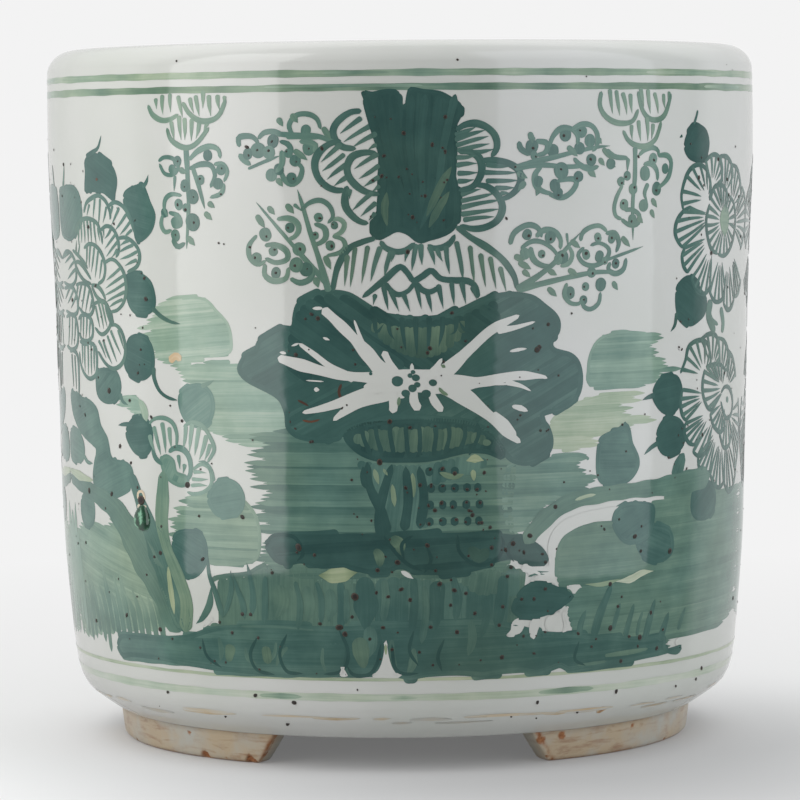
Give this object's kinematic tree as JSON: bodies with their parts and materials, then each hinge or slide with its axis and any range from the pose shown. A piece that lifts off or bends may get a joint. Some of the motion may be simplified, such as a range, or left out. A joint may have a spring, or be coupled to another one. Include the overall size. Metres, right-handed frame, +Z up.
{
  "type": "footed jardiniere",
  "caption": "Cylindrical glazed porcelain planter with a rolled lip, a rounded heel and low bracket feet, painted with flowers and foliage in dark green on white.",
  "frame": {"origin": "on the pot's axis, in the plane that the three feet stand on", "axes": "+Z up along the pot's axis, -Y towards the painted front, +X to the right seen from the front"},
  "size_m": [0.34, 0.34, 0.3294],
  "materials": {
    "white_glaze": "glossy",
    "foot_glaze": "satin, bare where it meets the table"
  },
  "bodies": {
    "root": {"pot_wall": "white_glaze", "lip_ring": "white_glaze", "floor_slab": "white_glaze", "foot_front_left": "foot_glaze", "foot_front_right": "foot_glaze", "foot_back": "foot_glaze"}
  },
  "joints": []
}
